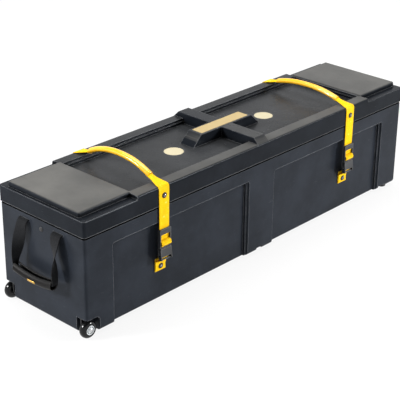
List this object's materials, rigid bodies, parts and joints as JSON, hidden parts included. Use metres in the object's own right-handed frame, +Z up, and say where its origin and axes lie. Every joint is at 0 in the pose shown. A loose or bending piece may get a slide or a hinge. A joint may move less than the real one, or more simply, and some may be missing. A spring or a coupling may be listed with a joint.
{
  "type": "drum hardware case",
  "caption": "Long moulded hardware case with a lift-off lid, corner wheels, webbing straps with side-release buckles, carry loops and end handles.",
  "frame": {"origin": "on the floor, under the middle of the case", "axes": "+X along the case, away from the wheels; +Z up; -Y to the front side"},
  "size_m": [1.3776, 0.3344, 0.3802],
  "materials": {
    "shell": "fine moulded texture, satin",
    "gold_plate": "pale gold, brushed, bare",
    "yellow_webbing": "woven webbing",
    "black_webbing": "woven webbing",
    "black_rivet": "gloss black",
    "buckle": "moulded, satin",
    "tyre": "smooth, glossy",
    "hub": "gloss",
    "steel": "zinc plated",
    "bracket": "black",
    "grip": "smooth",
    "foot": "matt"
  },
  "bodies": {
    "tub": {"tub": "shell", "wheel_bracket_front": "bracket", "wheel_bracket_rear": "bracket", "wheel_axle_front": "steel", "wheel_axle_rear": "steel", "foot_front": "foot", "foot_rear": "foot", "anchor_tab_front_left": "yellow_webbing", "anchor_tab_rear_left": "yellow_webbing", "anchor_tab_front_right": "yellow_webbing", "anchor_tab_rear_right": "yellow_webbing", "buckle_body_front_left": "buckle", "buckle_body_rear_left": "buckle", "buckle_body_front_right": "buckle", "buckle_body_rear_right": "buckle", "tab_rivet_front_left": "black_rivet", "tab_rivet_rear_left": "black_rivet", "tab_rivet_front_right": "black_rivet", "tab_rivet_rear_right": "black_rivet", "handle_plate_left": "steel", "handle_plate_right": "steel", "handle_anchor_front_left": "black_webbing", "handle_anchor_rear_left": "black_webbing", "handle_anchor_front_right": "black_webbing", "handle_anchor_rear_right": "black_webbing"},
    "lid": {"lid": "shell", "nameplate": "gold_plate", "badge_disc_left": "gold_plate", "badge_disc_right": "gold_plate", "lid_strap_front_left": "yellow_webbing", "lid_strap_rear_left": "yellow_webbing", "lid_strap_front_right": "yellow_webbing", "lid_strap_rear_right": "yellow_webbing", "strap_rivet_front_left": "black_rivet", "strap_rivet_rear_left": "black_rivet", "strap_rivet_front_right": "black_rivet", "strap_rivet_rear_right": "black_rivet", "buckle_plug_front_left": "buckle", "buckle_plug_rear_left": "buckle", "buckle_plug_front_right": "buckle", "buckle_plug_rear_right": "buckle"},
    "wheel_front": {"wheel_tyre_front": "tyre", "wheel_hub_front": "hub"},
    "wheel_rear": {"wheel_tyre_rear": "tyre", "wheel_hub_rear": "hub"},
    "end_handle_left": {"handle_webbing_left": "black_webbing", "handle_grip_left": "grip"},
    "end_handle_right": {"handle_webbing_right": "black_webbing", "handle_grip_right": "grip"},
    "carry_loop_left": {"carry_loop_left": "yellow_webbing"},
    "carry_loop_right": {"carry_loop_right": "yellow_webbing"},
    "prong_a_front_left": {"buckle_prong_a_front_left": "buckle"},
    "prong_a_rear_left": {"buckle_prong_a_rear_left": "buckle"},
    "prong_a_front_right": {"buckle_prong_a_front_right": "buckle"},
    "prong_a_rear_right": {"buckle_prong_a_rear_right": "buckle"},
    "prong_b_front_left": {"buckle_prong_b_front_left": "buckle"},
    "prong_b_rear_left": {"buckle_prong_b_rear_left": "buckle"},
    "prong_b_front_right": {"buckle_prong_b_front_right": "buckle"},
    "prong_b_rear_right": {"buckle_prong_b_rear_right": "buckle"}
  },
  "joints": [
    {"name": "lid_lift", "type": "slide", "parent": "tub", "child": "lid", "axis": [0, 0, 1], "range_m": [0, 0.15], "deforming": ["buckle_prong_a_front_left", "buckle_prong_a_rear_left", "buckle_prong_a_front_right", "buckle_prong_a_rear_right", "buckle_prong_b_front_left", "buckle_prong_b_rear_left", "buckle_prong_b_front_right", "buckle_prong_b_rear_right"]},
    {"name": "wheel_spin_front", "type": "hinge", "parent": "tub", "child": "wheel_front", "pos_m": [-0.635, -0.1445, 0.0235], "axis": [0, 1, 0], "continuous": true},
    {"name": "wheel_spin_rear", "type": "hinge", "parent": "tub", "child": "wheel_rear", "pos_m": [-0.635, 0.1445, 0.0235], "axis": [0, 1, 0], "continuous": true},
    {"name": "end_handle_swing_left", "type": "hinge", "parent": "tub", "child": "end_handle_left", "pos_m": [-0.6535, 0, 0.26], "axis": [0, 1, 0], "range_deg": [0, 140]},
    {"name": "end_handle_swing_right", "type": "hinge", "parent": "tub", "child": "end_handle_right", "pos_m": [0.6535, 0, 0.26], "axis": [0, -1, 0], "range_deg": [0, 140]},
    {"name": "carry_loop_lean_left", "type": "hinge", "parent": "lid", "child": "carry_loop_left", "pos_m": [-0.383, 0, 0.346], "axis": [0, 1, 0], "range_deg": [-60, 60], "stiffness_Nm_per_rad": 0.2},
    {"name": "carry_loop_lean_right", "type": "hinge", "parent": "lid", "child": "carry_loop_right", "pos_m": [0.383, 0, 0.3435], "axis": [0, 1, 0], "range_deg": [-60, 60], "stiffness_Nm_per_rad": 0.2},
    {"name": "prong_squeeze_a_front_left", "type": "hinge", "parent": "lid", "child": "prong_a_front_left", "pos_m": [-0.3707, -0.1614, 0.1629], "axis": [0, 1, 0], "range_deg": [0, 8], "stiffness_Nm_per_rad": 0.02},
    {"name": "prong_squeeze_b_front_left", "type": "hinge", "parent": "lid", "child": "prong_b_front_left", "pos_m": [-0.3953, -0.1614, 0.1629], "axis": [0, -1, 0], "range_deg": [0, 8], "stiffness_Nm_per_rad": 0.02},
    {"name": "prong_squeeze_a_rear_left", "type": "hinge", "parent": "lid", "child": "prong_a_rear_left", "pos_m": [-0.3953, 0.1614, 0.1629], "axis": [0, -1, 0], "range_deg": [0, 8], "stiffness_Nm_per_rad": 0.02},
    {"name": "prong_squeeze_b_rear_left", "type": "hinge", "parent": "lid", "child": "prong_b_rear_left", "pos_m": [-0.3707, 0.1614, 0.1629], "axis": [0, 1, 0], "range_deg": [0, 8], "stiffness_Nm_per_rad": 0.02},
    {"name": "prong_squeeze_a_front_right", "type": "hinge", "parent": "lid", "child": "prong_a_front_right", "pos_m": [0.3953, -0.1614, 0.1629], "axis": [0, 1, 0], "range_deg": [0, 8], "stiffness_Nm_per_rad": 0.02},
    {"name": "prong_squeeze_b_front_right", "type": "hinge", "parent": "lid", "child": "prong_b_front_right", "pos_m": [0.3707, -0.1614, 0.1629], "axis": [0, -1, 0], "range_deg": [0, 8], "stiffness_Nm_per_rad": 0.02},
    {"name": "prong_squeeze_a_rear_right", "type": "hinge", "parent": "lid", "child": "prong_a_rear_right", "pos_m": [0.3707, 0.1614, 0.1629], "axis": [0, -1, 0], "range_deg": [0, 8], "stiffness_Nm_per_rad": 0.02},
    {"name": "prong_squeeze_b_rear_right", "type": "hinge", "parent": "lid", "child": "prong_b_rear_right", "pos_m": [0.3953, 0.1614, 0.1629], "axis": [0, 1, 0], "range_deg": [0, 8], "stiffness_Nm_per_rad": 0.02}
  ]
}
